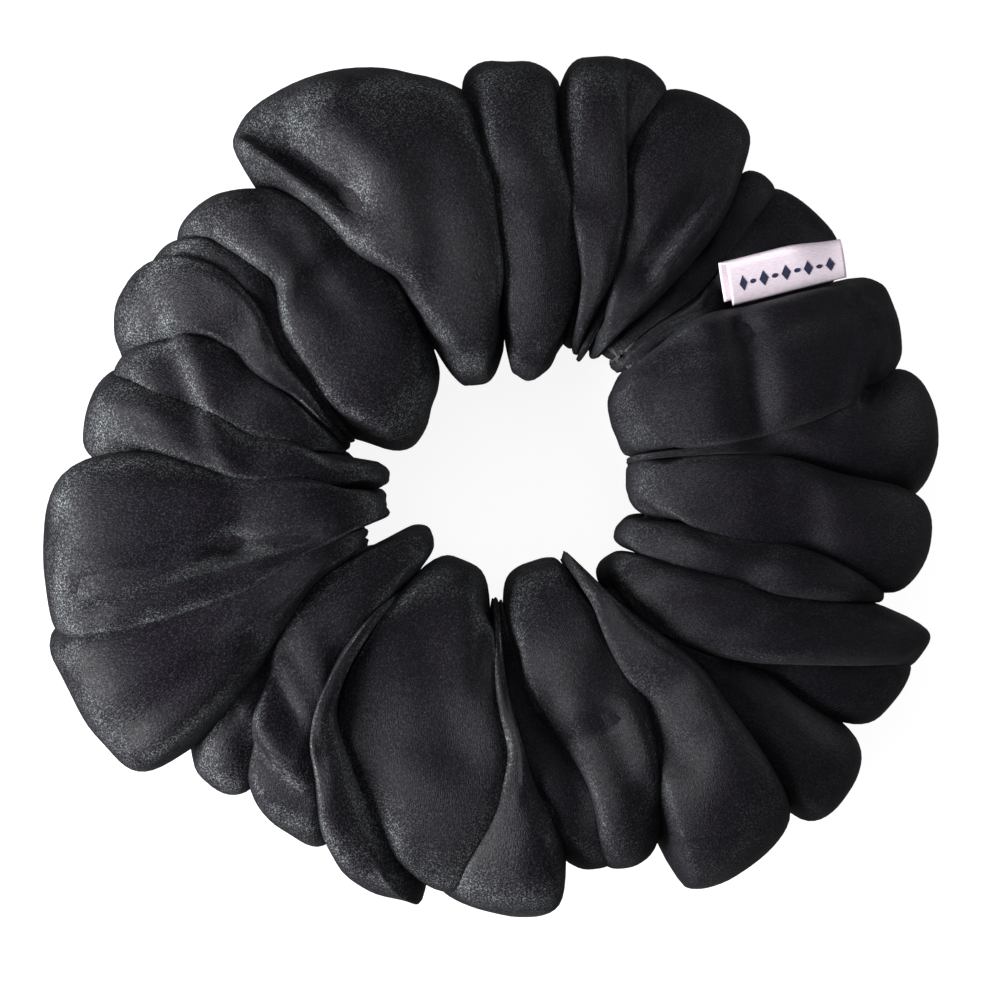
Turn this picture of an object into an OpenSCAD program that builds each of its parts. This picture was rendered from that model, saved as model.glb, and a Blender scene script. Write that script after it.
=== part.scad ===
// Gathered velvet scrunchie.
// A long velvet strip is sewn into a sleeve, ruched on a ring of braided elastic and closed
// by one crosswise seam, which also holds a folded ribbon label.
// Frame: origin at the middle of the throat, +Z up, +X through the closing seam. Millimetres.
// The ring is two bodies that meet at x = 0, so that it can be pulled open along X.

/* [Ring] */
// Diameter of the clear throat that the hair passes through
throat_d = 30; // [26:1:32]
// Height of the round wall around the throat
throat_h = 10; // [8:1:12]
// Diameter over the gathered lobes
outer_d = 120; // [114:1:126]
// Places round the ring where a lobe can stand; the one at the closing seam stays empty
lobe_places = 18; // [14:4:22]
// Diameter of a lobe's round ends, which sets the ring's height
lobe_d = 35; // [33:1:36]
// Thickness of one lobe along the ring
lobe_t = 13; // [11:1:13]
// How much the lobes are pressed flat where the ring lies on a surface
rest_flat = 1; // [0.5:0.5:1.5]
// Gap between the two halves of the ring
split_gap = 0.2; // [0.1:0.1:0.4]

/* [Gathered core] */
// Height of the gathered fabric between the lobes
core_d = 25; // [22:1:27]
// How far the core's inner edge stands back from the throat wall
core_inset = 3.5; // [3:0.5:5]
// How far the core's outer edge stands back from the lobes
core_outset = 6.5; // [5:0.5:9]

/* [Elastic] */
// Middle diameter of the relaxed elastic ring
elastic_ring_d = 46; // [44:1:48]
// Width of the elastic
elastic_w = 8; // [6:1:8]
// Thickness of the elastic
elastic_t = 1.2; // [0.8:0.1:1.4]
// Length of the overlap where the elastic's two ends are sewn together
elastic_overlap = 12; // [10:1:14]
// Free space round the elastic inside its channel
channel_gap = 0.3; // [0.2:0.1:0.5]

/* [Label] */
// Width of the ribbon, measured along the seam
label_w = 16; // [12:1:16]
// Height of the folded loop above the seam
label_h = 8; // [7:0.5:9]
// Thickness of one layer of ribbon
ribbon_t = 0.25; // [0.2:0.05:0.3]
// Radius of the fold, outside
fold_r = 0.6; // [0.5:0.1:0.7]
// Turn of the label's width from the radial direction
label_yaw = -23; // [-26:1:-18]
// Slope of the label above the horizontal
label_tilt = 40; // [36:1:46]
// Middle of the label's root line
label_root = [46.6, -3.6, 8.5];

/* [Stitching] */
// Diameter of the sewing thread
thread_d = 0.4; // [0.3:0.05:0.5]
// Length of one stitch
stitch_l = 2.2; // [1.8:0.1:2.6]
// Distance from one stitch to the next
stitch_pitch = 3; // [2.8:0.1:3.6]

/* [Hidden] */
$fn = 48;

throat_r = throat_d / 2;
lobe_r = lobe_d / 2;
lobe_inner_x = throat_r + 1 + lobe_r;
lobe_outer_x = outer_d / 2 - lobe_r;
rest_z = -(lobe_r - rest_flat);
core_r = core_d / 2;
core_inner_x = throat_r + core_inset + core_r;
core_outer_x = outer_d / 2 - core_outset - core_r;
elastic_r = elastic_ring_d / 2;
elastic_in = elastic_r - elastic_t / 2;
elastic_out = elastic_r + elastic_t / 2;
overlap_deg = elastic_overlap / elastic_r * 180 / PI;
// Degrees by which the outer end of the elastic runs over the step beside the overlap
step_deg = 4;
pocket_floor = label_root.z - 1;
// The hollow that the label stands in: its length, and its reach behind and before the root
pocket_l = label_w + 6;
pocket_back = 3.5;
pocket_front = label_h + 2;
// How far the label's stitches stand from its root line
stitch_offset = 1.6;
// Height and radius of one raised dot of the motif
print_t = 0.1;
print_r = 0.9;
// Far more than the ring's size, for cutting away one half of it
beyond = 200;
long_seam_r = (core_inner_x + core_outer_x) / 2;

// ---- shapes that several parts use ----

// Everything on the +X side of the split, or with side = -1 on the -X side
module half_space(side) {
    translate([side > 0 ? split_gap / 2 : -beyond - split_gap / 2, -beyond / 2, -beyond / 2])
        cube(beyond);
}

// A flat-sided disc with a fully round rim, standing in the XZ plane
module round_disc(r, t) {
    rotate([90, 0, 0])
        rotate_extrude()
            intersection() {
                union() {
                    translate([0, -t / 2])
                        square([r - t / 2, t]);
                    translate([r - t / 2, 0])
                        circle(t / 2);
                }
                translate([0, -t])
                    square([r, 2 * t]);
            }
}

// One gathered lobe: two discs side by side, from the throat to the outside
module lobe() {
    for (x = [lobe_inner_x, lobe_outer_x])
        translate([x, 0, 0])
            round_disc(lobe_r, lobe_t);
}

// Outline of the gathered core: a stadium with a short straight wall at the throat
module core_profile() {
    translate([core_inner_x, 0])
        circle(core_r);
    translate([core_outer_x, 0])
        circle(core_r);
    translate([core_inner_x, -core_r])
        square([core_outer_x - core_inner_x, core_d]);
    translate([throat_r, -throat_h / 2])
        square([core_inner_x - throat_r, throat_h]);
}

// A ring-shaped band between two radii, from one angle to another
module band(r_in, r_out, h, from, to) {
    rotate([0, 0, from])
        rotate_extrude(angle = to - from)
            translate([r_in, -h / 2])
                square([r_out - r_in, h]);
}

// The channel that the elastic lies in, wide enough for the doubled overlap
module elastic_channel() {
    rotate_extrude()
        translate([elastic_in - channel_gap, -elastic_w / 2 - channel_gap])
            square([2 * elastic_t + 2 * channel_gap, elastic_w + 2 * channel_gap]);
}

// A stitch: a thread of stitch_l with round ends, along X
module stitch() {
    run = stitch_l - thread_d;
    translate([-run / 2, 0, 0])
        rotate([0, 90, 0])
            cylinder(h = run, d = thread_d);
    for (x = [-run / 2, run / 2])
        translate([x, 0, 0])
            sphere(d = thread_d);
}

// Stitches round half of a circle about Z, on the +X side, or with side = -1 on the -X side
module stitch_arc(r, z, side) {
    count = floor((PI * r - stitch_l) / stitch_pitch);
    step = 180 / (count + 1);
    for (i = [0 : count])
        rotate([0, 0, (i + 0.5) * step + (side > 0 ? -90 : 90)])
            translate([r, 0, z])
                rotate([0, 0, 90])
                    stitch();
}

// Puts what follows in the label's own frame: X along its width, Y up its slope
module on_label() {
    translate(label_root)
        rotate([0, 0, label_yaw])
            rotate([label_tilt, 0, 0])
                children();
}

// The gathered sleeve on one side of the split
module velvet_half(side) {
    step = 360 / lobe_places;
    first = ceil(-side * lobe_places / 4);
    intersection() {
        difference() {
            union() {
                rotate_extrude()
                    core_profile();
                for (i = [first : first + lobe_places / 2 - 1])
                    if (i != 0)
                        rotate([0, 0, i * step])
                            lobe();
            }
            elastic_channel();
        }
        half_space(side);
        translate([-beyond / 2, -beyond / 2, rest_z])
            cube(beyond);
    }
}

// ---- parts ----

module velvet_cover_far_half() {
    color("#1f1d22")
        velvet_half(-1);
}

module velvet_cover_seam_half() {
    color("#26242a")
        difference() {
            velvet_half(1);
            translate([label_root.x, label_root.y, pocket_floor])
                rotate([0, 0, label_yaw])
                    translate([-pocket_l / 2, -pocket_back, 0])
                        cube([pocket_l, pocket_back + pocket_front, lobe_d]);
        }
}

module elastic_far_half() {
    color("#35353a")
        intersection() {
            band(elastic_in, elastic_out, elastic_w, 90, 270);
            half_space(-1);
        }
}

// The relaxed elastic overlaps itself at the closing seam: one end lies outside the other
module elastic_seam_half() {
    color("#3b3b41")
        intersection() {
            union() {
                band(elastic_in, elastic_out, elastic_w, -90, overlap_deg / 2);
                band(elastic_out, elastic_out + elastic_t, elastic_w,
                    -overlap_deg / 2, overlap_deg / 2 + step_deg);
                band(elastic_in, elastic_out, elastic_w, overlap_deg / 2, 90);
            }
            half_space(1);
        }
}

// Two short rows of thread through both layers of the elastic
module elastic_join_stitches() {
    depth = 2 * elastic_t;
    color("#111114")
        for (az = [-overlap_deg / 4, overlap_deg / 4])
            for (z = [-elastic_w / 3, 0, elastic_w / 3])
                rotate([0, 0, az])
                    translate([elastic_in, 0, z])
                        rotate([0, 90, 0])
                            cylinder(h = depth, d = thread_d);
}

module long_seam_stitches_far_half() {
    color("#111114")
        stitch_arc(long_seam_r, -core_r, -1);
}

module long_seam_stitches_seam_half() {
    color("#111114")
        stitch_arc(long_seam_r, -core_r, 1);
}

// A straight row beside the label's root
module closing_seam_stitches() {
    count = floor(label_w / stitch_pitch);
    color("#111114")
        translate([label_root.x, label_root.y, pocket_floor])
            rotate([0, 0, label_yaw])
                for (i = [0 : count - 1])
                    translate([(i - (count - 1) / 2) * stitch_pitch, -stitch_offset, 0])
                        stitch();
}

// The ribbon folded into a flat loop with its cut ends at the root
module label_ribbon() {
    flat = label_h - fold_r;
    color("#ead9e4")
        on_label()
            translate([-label_w / 2, 0, 0])
                rotate([90, 0, 90])
                    linear_extrude(label_w)
                        difference() {
                            union() {
                                translate([0, -fold_r])
                                    square([flat, 2 * fold_r]);
                                translate([flat, 0])
                                    circle(fold_r);
                            }
                            translate([ribbon_t, ribbon_t - fold_r])
                                square([flat - ribbon_t, 2 * (fold_r - ribbon_t)]);
                            translate([flat, 0])
                                circle(fold_r - ribbon_t);
                        }
}

// A plain row of printed dots on the label's upper face
module label_motif() {
    dots = 5;
    pitch = label_w / (dots + 1);
    color("#2b2b45")
        on_label()
            for (i = [0 : dots - 1])
                translate([(i - (dots - 1) / 2) * pitch, label_h / 2, fold_r])
                    cylinder(h = print_t, r = print_r);
}

velvet_cover_far_half();
velvet_cover_seam_half();
elastic_far_half();
elastic_seam_half();
elastic_join_stitches();
long_seam_stitches_far_half();
long_seam_stitches_seam_half();
closing_seam_stitches();
label_ribbon();
label_motif();
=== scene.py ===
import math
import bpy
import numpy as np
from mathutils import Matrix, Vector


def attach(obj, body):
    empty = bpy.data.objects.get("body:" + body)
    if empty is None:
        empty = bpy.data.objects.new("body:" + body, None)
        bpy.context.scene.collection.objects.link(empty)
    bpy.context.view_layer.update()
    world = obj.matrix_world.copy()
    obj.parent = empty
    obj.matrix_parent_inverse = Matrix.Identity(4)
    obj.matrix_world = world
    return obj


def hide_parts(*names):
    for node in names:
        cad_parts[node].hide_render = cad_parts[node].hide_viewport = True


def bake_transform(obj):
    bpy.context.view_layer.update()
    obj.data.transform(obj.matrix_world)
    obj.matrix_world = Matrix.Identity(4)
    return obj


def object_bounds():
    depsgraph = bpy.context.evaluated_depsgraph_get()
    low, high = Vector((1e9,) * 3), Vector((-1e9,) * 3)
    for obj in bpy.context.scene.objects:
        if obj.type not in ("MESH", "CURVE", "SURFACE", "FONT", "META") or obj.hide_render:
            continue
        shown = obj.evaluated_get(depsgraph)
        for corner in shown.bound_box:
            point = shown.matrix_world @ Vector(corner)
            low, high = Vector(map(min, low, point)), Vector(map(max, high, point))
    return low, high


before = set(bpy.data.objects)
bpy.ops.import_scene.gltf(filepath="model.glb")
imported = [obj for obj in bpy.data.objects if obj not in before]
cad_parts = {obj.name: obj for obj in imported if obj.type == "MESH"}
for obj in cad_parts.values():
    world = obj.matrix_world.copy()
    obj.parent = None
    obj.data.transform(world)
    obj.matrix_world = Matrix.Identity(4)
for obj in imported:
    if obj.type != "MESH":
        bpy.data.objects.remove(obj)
cad_low, cad_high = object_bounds()

# %% [markdown]
# # A gathered velvet scrunchie
# The real thing is a long velvet strip, sewn into a sleeve, pushed together on a ring of
# elastic until it stands in some thirty soft lobes, and closed by one crosswise seam that also
# holds a folded ribbon label. The CAD frame gives the ring's size, the elastic, the label's
# place and the joints; everything you see is made here around it.

MM = 0.001  # lengths are given in millimetres; this turns them into the frame's metres
print("cad box, mm:", [round((high - low) / MM, 1) for low, high in zip(cad_low, cad_high)])

# %% [markdown]
# The camera looks straight down on the ring. The label sits at two o'clock in that view, while
# the frame has it on +X, so the camera is turned about the vertical, and every angle below that
# is given as seen in the view has the same turn taken off. A long lens keeps the lobes at the
# rim from leaning outward.

# %% Camera
VIEW_TURN = 37.0  # degrees from the view's right-hand side round to +X
VIEW_WIDTH = 135.0  # millimetres across the view at the ring's middle
CAMERA_HEIGHT = 450.0
VIEW_DROP = 3.0  # how far the view's middle lies below the ring's middle
SENSOR = 36.0

turn = math.radians(VIEW_TURN)
view_up = np.array([math.sin(turn), math.cos(turn), 0.0])
lens = bpy.data.cameras.new("top_camera")
lens.sensor_width = SENSOR
lens.lens = SENSOR * CAMERA_HEIGHT / VIEW_WIDTH
lens.clip_start = 10 * MM
camera = bpy.data.objects.new("top_camera", lens)
bpy.context.collection.objects.link(camera)
camera.location = -view_up * VIEW_DROP * MM + np.array([0, 0, CAMERA_HEIGHT * MM])
camera.rotation_euler = (0, 0, -turn)
bpy.context.scene.camera = camera
print("lens, mm:", round(lens.lens, 1))

# %% [markdown]
# Colours are chosen as the sRGB hex values that a screen shows, but shaders work in linear
# light, so one function converts them. Another adds a node, sets its inputs and links it, which
# keeps node trees readable. A third puts computed points and faces into a mesh in one call, far
# quicker than one by one.

# %% Helpers for colours, nodes and meshes
def linear(hex_code):
    """sRGB hex to linear RGBA: s / 12.92 in the dark, ((s + 0.055) / 1.055) ** 2.4 above."""
    srgb = np.array([int(hex_code[i:i + 2], 16) for i in (1, 3, 5)]) / 255
    light = np.where(srgb <= 0.04045, srgb / 12.92, ((srgb + 0.055) / 1.055) ** 2.4)
    return (*light.tolist(), 1.0)


def add(tree, kind, inputs=None, stops=(), **settings):
    """Adds one node of a kind that is named without its ShaderNode prefix. inputs holds values,
    or other nodes' outputs, for its sockets; stops are a colour ramp's two (position, hex)
    pairs; settings are the node's own attributes."""
    node = tree.nodes.new("ShaderNode" + kind)
    for name, value in settings.items():
        setattr(node, name, value)
    for key, value in (inputs or {}).items():
        if isinstance(value, bpy.types.NodeSocket):
            tree.links.new(value, node.inputs[key])
        else:
            node.inputs[key].default_value = value
    for number, (position, hex_code) in enumerate(stops):
        node.color_ramp.elements[number].position = position
        node.color_ramp.elements[number].color = linear(hex_code)
    return node


def new_material(name):
    """An empty node material and its tree."""
    material = bpy.data.materials.new(name)
    material.use_nodes = True
    material.node_tree.nodes.clear()
    return material, material.node_tree


def new_piece(name, vertices, faces, uv=None, smooth=True):
    """Links a mesh object; faces lists corner numbers, uv holds a pair for each of them."""
    mesh = bpy.data.meshes.new(name)
    mesh.from_pydata(np.reshape(vertices, (-1, 3)), [], faces)
    if uv is not None:
        mesh.uv_layers.new(name="UVMap").data.foreach_set("uv", np.ravel(uv))
    if smooth:
        mesh.shade_smooth()
    piece = bpy.data.objects.new(name, mesh)
    bpy.context.collection.objects.link(piece)
    return piece


def quads_of(*corners):
    """Quads from four equal arrays of corner numbers."""
    return np.stack(corners, axis=-1).reshape(-1, 4)


def unit(vectors):
    """Vectors divided by their lengths."""
    return vectors / np.maximum(np.linalg.norm(vectors, axis=-1, keepdims=True), 1e-12)


def running(steps):
    """0 and the running sums of the steps."""
    return np.concatenate([[0], np.cumsum(steps)])


def quad_uv(u, w):
    """UVs of the four corners of each quad in a grid whose lines lie at u and at w."""
    i, j = np.meshgrid(np.arange(len(u) - 1), np.arange(len(w) - 1), indexing="ij")
    corners = [u[i], w[j], u[i + 1], w[j], u[i + 1], w[j + 1], u[i], w[j + 1]]
    return np.stack(corners, axis=-1).reshape(-1, 4, 2)


print("mid grey is", round(linear("#808080")[0], 3), "in linear light")

# %% [markdown]
# The lobes are not alike: each is a fold of the same sleeve, wide outside, squeezed at the
# throat, and leaning a little. The list below is the design of the gathers. A row is one crease
# and the lobe that follows it anticlockwise. The crease is given by its angle in the view at
# the throat, on top and outside, and by how deep it cuts, as a share of a full crease, outside
# and on top. The lobe is given by how near it comes to the middle, how high it stands and how
# far out it reaches, in millimetres, by how much further out it reaches at its anticlockwise
# end than in its middle, and by its lean: above zero the ridge stands anticlockwise.

# %% The gathers
LOBES = [
    # crease: throat, top, outside, cuts outside and on top; lobe: inner, height, outer, skew, lean
    (9, 10, 15, 0.45, 0.6, 17.5, 17, 57, 1.5, 0.1),
    (41, 35.5, 29, 0.5, 0.8, 21, 9.5, 55, 0, 0),
    (46, 42, 46, 0.3, 0.6, 21.5, 9, 53.5, 0, 0),
    (51, 48, 51, 0.8, 0.9, 20.5, 15, 58, 0.5, -0.2),
    (55, 64, 66.5, 0.4, 0.8, 19, 11.5, 58.6, 0, 0.4),
    (57.5, 65.5, 74, 0.15, 0.8, 19.5, 15.5, 57.6, -1.2, 0),
    (61, 75, 82, 0.8, 0.8, 20, 12, 53.5, 0, 0),
    (65, 76.5, 83, 0.4, 0.5, 14, 15.5, 55.4, -0.5, 0.2),
    (88.5, 92.5, 95.5, 0.5, 0.8, 13.5, 17.5, 58.6, 3.6, 0.1),
    (117, 122.5, 129.5, 0.9, 1.0, 12.7, 14.5, 54, 0.5, 0.2),
    (164, 141, 143, 0.4, 0.9, 20.5, 13, 54.5, 0.5, 0),
    (167, 146.5, 149.5, 0.3, 0.7, 21, 14.5, 56.5, 0, -0.3),
    (170, 154, 161.5, 0.5, 0.9, 20.5, 13.5, 53.5, 0, 0.2),
    (172, 168.5, 165, 0.5, 0.9, 15, 15, 56, -1, 0.2),
    (185.5, 177.5, 178.5, 0.8, 0.8, 15.8, 16.5, 61.0, 2.4, 0.1),
    (198.5, 204, 199.0, 0.45, 0.9, 19.4, 16.5, 63.2, -0.9, -0.1),
    (203.5, 216, 220, 0.9, 0.8, 20, 11, 56.3, 0, 0),
    (208, 218, 231, 0.5, 0.9, 12.2, 14, 55, 0, 0.2),
    (229, 231, 245.5, 0.4, 1.0, 19.5, 17.3, 58.4, 4.2, -0.4),
    (232, 235, 257.5, 0.6, 0.6, 12.5, 15, 55.5, 0, 0),
    (266, 271, 262.5, 0.4, 0.8, 16.2, 14.5, 58.5, 0, 0.3),
    (269, 276, 279, 0.8, 0.7, 16.6, 12, 53.5, 0.5, 0),
    (271.5, 285, 285, 0.2, 0.6, 12.5, 15, 54.5, -0.3, 0),
    (306, 302, 294.5, 0.6, 0.8, 13, 16.5, 61.6, -2.4, 0.3),
    (312, 315.5, 310.5, 1.0, 0.8, 20, 13, 62.2, -1.2, 0),
    (313.5, 320, 323.5, 0.9, 0.7, 20, 11, 60.5, 0.8, 0),
    (315, 322, 335.5, 0.3, 0.8, 17.5, 16, 60.6, 0.5, 0.2),
    (332, 337, 341.5, 1.0, 0.8, 17, 14.5, 54, 0, 0),
    (345, 346.5, 344.5, 0.5, 0.7, 17, 15.5, 57.8, 0.3, 0.1),
    (366, 364, 357.5, 0.6, 0.8, 17, 14.5, 58.4, 0.2, 0),
]
RING_R = 37.5  # the middle line of the sleeve's tube
UNDERSIDE = 16.3  # the lobes' depth below the ring's middle, where they rest
BOXY = [14, 15]  # rows of the two lobes whose outer edge is folded nearly square
table = np.array(LOBES, float)
(THROAT, TOP, OUTSIDE, CUT_OUT, CUT_TOP, INNER, HEIGHT, OUTER, SKEW, LEAN) = table.T[:, :, None]
row = np.arange(len(LOBES))[:, None]
boxy = np.isin(row, BOXY)
SQUARE = np.where(boxy, 3.6, 2.4)  # power of a lobe's outline round the tube
CROWN = np.where(boxy, 3.2, 1.35)  # power of its arch: a high one has a flat top
print(len(LOBES), "lobes, reaching", OUTER.min(), "to", OUTER.max(), "mm")

# %% [markdown]
# The sleeve is one surface with two parameters. The first walks along the strip, over each
# lobe and down into the next crease; the second, v, goes round the tube, from outside over the
# top to the throat and back underneath. Creases come first. Each one's angle is a smooth curve
# through its angles at the three places, with a small wander that no two creases share. Its
# depth depends on the width of the lobes beside it, since a wide lobe has more cloth to fold.

# %% Creases
CORE_R = 5.0  # the hollow middle that the tucks leave free
GUARD_R = 15.75  # at the throat, where the cloth lies against the elastic
NARROWEST = 1.0  # least width of a lobe, degrees
CREASE_SHARE = 0.7  # a crease's depth as a share of the narrower lobe's width
SHALLOWEST, DEEPEST = 1.0, 9.0
WANDER = [(0.5, 3, 2.4), (0.3, 5, 4.1)]  # degrees, waves round the tube, phase for each row


def four_way(outside, top, inside, bottom, v):
    """The smooth periodic curve through four values a quarter turn apart: a constant, one
    wave and the second cosine, whose weights are sums and differences of the four."""
    mean = (outside + top + inside + bottom) / 4
    second = (outside + inside - top - bottom) / 4
    return (mean + (outside - inside) / 2 * np.cos(v) + (top - bottom) / 2 * np.sin(v)
            + second * np.cos(2 * v))


def tube_radius(out_r, top_r, in_r, bottom_r, v, power):
    """Radius of a rounded box about the tube's middle: |cos/a|^p + |sin/b|^p = 1, where a
    and b are the reaches on the side that the angle points to."""
    level = np.where(np.cos(v) > 0, out_r, in_r)
    upright = np.where(np.sin(v) > 0, top_r, bottom_r)
    total = np.abs(np.cos(v) / level) ** power + np.abs(np.sin(v) / upright) ** power
    return total ** (-1 / power)


def smooth_step(x, low, high):
    """0 below low, 1 above high, and 3q^2 - 2q^3 between."""
    share = np.clip((x - low) / (high - low), 0, 1)
    return share * share * (3 - 2 * share)


def elastic_guard(v):
    """The least radius that a crease may have: a small core, and at the throat the elastic."""
    return CORE_R + (GUARD_R - CORE_R) * smooth_step(-np.cos(v), 0.80, 0.94)


def gather_curves(v):
    """Crease angles, lobe widths, crest radii and crease radii at each angle v round the
    tube. A crease lies below the lower of its two lobes by a share of the narrower one."""
    v = v[None]
    angle = four_way(OUTSIDE, TOP, THROAT, (THROAT + OUTSIDE) / 2, v)
    for size, waves, phase in WANDER:
        angle = angle + size * np.sin(waves * v + phase * row)
    width = np.maximum(np.diff(angle, axis=0, append=angle[:1] + 360), NARROWEST)
    width = width * 360 / width.sum(axis=0)
    angle = angle[:1] + np.cumsum(width, axis=0) - width
    crest = tube_radius(OUTER - RING_R, HEIGHT, RING_R - INNER, UNDERSIDE + 0 * HEIGHT, v, SQUARE)
    span = np.radians(width) * (RING_R + crest * np.cos(v))
    depth = CREASE_SHARE * np.minimum(span, np.roll(span, 1, axis=0))
    depth = np.clip(depth, SHALLOWEST, DEEPEST)
    depth = depth * four_way(CUT_OUT, CUT_TOP, CUT_TOP, (CUT_OUT + CUT_TOP) / 2, v)
    crease = np.minimum(crest, np.roll(crest, 1, axis=0)) - depth
    return angle, width, crest, np.maximum(crease, elastic_guard(v))


_, lobe_width, _, _ = gather_curves(np.zeros(1))
print("lobe widths outside, degrees:", lobe_width.min().round(1), "to", lobe_width.max().round(1))

# %% [markdown]
# Seen along the tube each lobe is a round arch on two straight walls, and neighbouring walls
# all but touch, so a crease shows as one thin dark line, as it does where real pile presses on
# pile. The walls run on inward, unseen, because that is where a gathered strip keeps most of
# its length; only the elastic at the throat stops them. Wide lobes get more samples, so that
# the grid's cells stay alike.

# %% The sleeve's surface
ARCH = 0.76  # share of a lobe's samples on its round arch
TOUCH = 0.99  # how much of its half width the arch fills before the wall
FLATTEN = 0.5  # how much lower than half round the widest arches are
ROUND_UP_TO, FLAT_FROM = 2.5, 9.0  # half widths, mm, between which that sets in
TUCK = 7.5  # how much further a crease runs on, unseen, between its walls
RINGS = 60  # samples round the tube
SAMPLES = np.clip(np.round(6.5 + 0.5 * lobe_width[:, 0]), 9, 20).astype(int)


def across_lobes(samples):
    """For every sample along the strip, -1 at its lobe's first crease rising to 1 at the next."""
    return np.concatenate([np.arange(n) / n for n in samples]) * 2 - 1


def sleeve_points(samples, rings):
    """Points of the sleeve, an array (along the strip, round the tube, xyz) in metres. On the
    arch the angle swings as sin(phase) and the radius falls from the crest by the arch's
    height times (1 - cos(phase)) ** CROWN; on the wall both run straight down to the crease."""
    v = np.arange(rings) * 2 * np.pi / rings
    angle, width, crest, crease = gather_curves(v)
    lobe = np.repeat(np.arange(len(LOBES)), samples)
    after = (lobe + 1) % len(LOBES)
    step = across_lobes(samples)[:, None]
    swing = np.clip(step / ARCH, -1, 1)
    wall = np.clip((np.abs(step) - ARCH) / (1 - ARCH), 0, 1)
    outward = np.clip(np.cos(v), 0, 1)[None] ** 2
    peak = crest[lobe] + SKEW[lobe] * swing * outward
    half = np.radians(width[lobe]) * (RING_R + crest[lobe] * np.cos(v)[None]) / 2
    arch = half * (1 - FLATTEN * smooth_step(half, ROUND_UP_TO, FLAT_FROM))
    visible = np.where(step < 0, crease[lobe], crease[after])
    foot = np.minimum(visible, np.maximum(visible - TUCK, elastic_guard(v)[None]))
    shoulder = np.maximum(peak - arch, visible)
    leaning = swing - LEAN[lobe] * (1 - swing ** 2)
    radius = peak - (peak - shoulder) * (1 - np.cos(leaning * np.pi / 2)) ** CROWN[lobe]
    radius = radius + (foot - shoulder) * wall
    across = np.sin(swing * np.pi / 2) * (TOUCH + (1 - TOUCH) * wall)
    theta = np.radians(angle[lobe] + width[lobe] * (1 + across) / 2 - VIEW_TURN)
    ring = RING_R + radius * np.cos(v)[None]
    height = radius * np.sin(v)[None]
    return np.stack([ring * np.cos(theta), ring * np.sin(theta), height], axis=-1) * MM


designed = sleeve_points(SAMPLES, RINGS)
print("coarse sleeve:", designed.shape[:2], "points")

# %% [markdown]
# A designed surface looks too clean for cloth. So the coarse sleeve is handed to the cloth
# solver for a moment: a little air pressure and a little extra cloth, which the stiffness of
# velvet turns into soft buckles. It is simulated ten times too large, where the solver is at
# ease, and the crease floors at the throat are held. No point may end far from its design, and
# the narrowest folds, too stiff to buckle, stay as designed.

# %% Letting the cloth settle
SOLVER_SCALE = 10.0
STEPS = 9
FARTHEST = 3.2 * MM  # the limit that the longest moves approach
NARROW = 1.8  # a fold that is no wider than this, in mm, does not buckle
CREASE_HELD, THROAT_HELD = 0.8, 0.75  # how near its crease and the throat a point is held
VELVET_CLOTH = {
    "quality": 5, "mass": 0.3, "tension_stiffness": 15, "compression_stiffness": 15,
    "shear_stiffness": 5, "bending_stiffness": 6, "air_damping": 2, "use_pressure": True,
    "uniform_pressure_force": 0.6, "shrink_min": -0.05, "shrink_max": -0.05,
    "vertex_group_mass": "held"}


def grid_faces(along, around):
    """Corner numbers of the quads of a grid that closes on itself both ways."""
    i, j = np.meshgrid(np.arange(along), np.arange(around), indexing="ij")
    next_i, next_j = (i + 1) % along, (j + 1) % around
    return quads_of(i * around + j, next_i * around + j, next_i * around + next_j,
                    i * around + next_j)


def solved(points):
    """The points after STEPS frames of the cloth solver."""
    along, around = points.shape[:2]
    cloth = new_piece("settling", points * SOLVER_SCALE, grid_faces(along, around).tolist())
    v = np.arange(around) * 2 * np.pi / around
    held = ((np.abs(across_lobes(SAMPLES)) > CREASE_HELD)[:, None]
            & (np.cos(v) < -THROAT_HELD)[None])
    cloth.vertex_groups.new(name="held").add(np.flatnonzero(held).tolist(), 1.0, "REPLACE")
    solver = cloth.modifiers.new("cloth", "CLOTH")
    for name, value in VELVET_CLOTH.items():
        setattr(solver.settings, name, value)
    solver.settings.effector_weights.gravity = 0
    solver.collision_settings.use_collision = False
    solver.point_cache.frame_start, solver.point_cache.frame_end = 1, STEPS
    scene = bpy.context.scene
    scene.frame_start, scene.frame_end = 1, STEPS
    for step in range(1, STEPS + 1):
        scene.frame_set(step)
    result = cloth.evaluated_get(bpy.context.evaluated_depsgraph_get()).data
    flat = np.empty(along * around * 3)
    result.vertices.foreach_get("co", flat)
    scene.frame_set(1)
    bpy.data.objects.remove(cloth)
    return flat.reshape(points.shape) / SOLVER_SCALE


def settle(points):
    """The points moved towards the solver's answer: each move fades out on narrow folds and
    is shortened towards FARTHEST by m / (1 + m / F)."""
    v = np.arange(points.shape[1]) * 2 * np.pi / points.shape[1]
    level = np.hypot(points[..., 0], points[..., 1]) / MM - RING_R
    ring = RING_R + np.hypot(level, points[..., 2] / MM) * np.cos(v)
    lobe = np.repeat(np.arange(len(LOBES)), SAMPLES)
    span = np.radians(gather_curves(v)[1])[lobe] * ring
    move = (solved(points) - points) * smooth_step(span, NARROW, 3 * NARROW)[..., None]
    length = np.linalg.norm(move, axis=-1, keepdims=True)
    print("settled; moved", (length.mean() / MM).round(2), "mm on average, most",
          (length.max() / MM).round(1))
    return points + move / (1 + length / FARTHEST)


settled = settle(designed)
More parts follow.
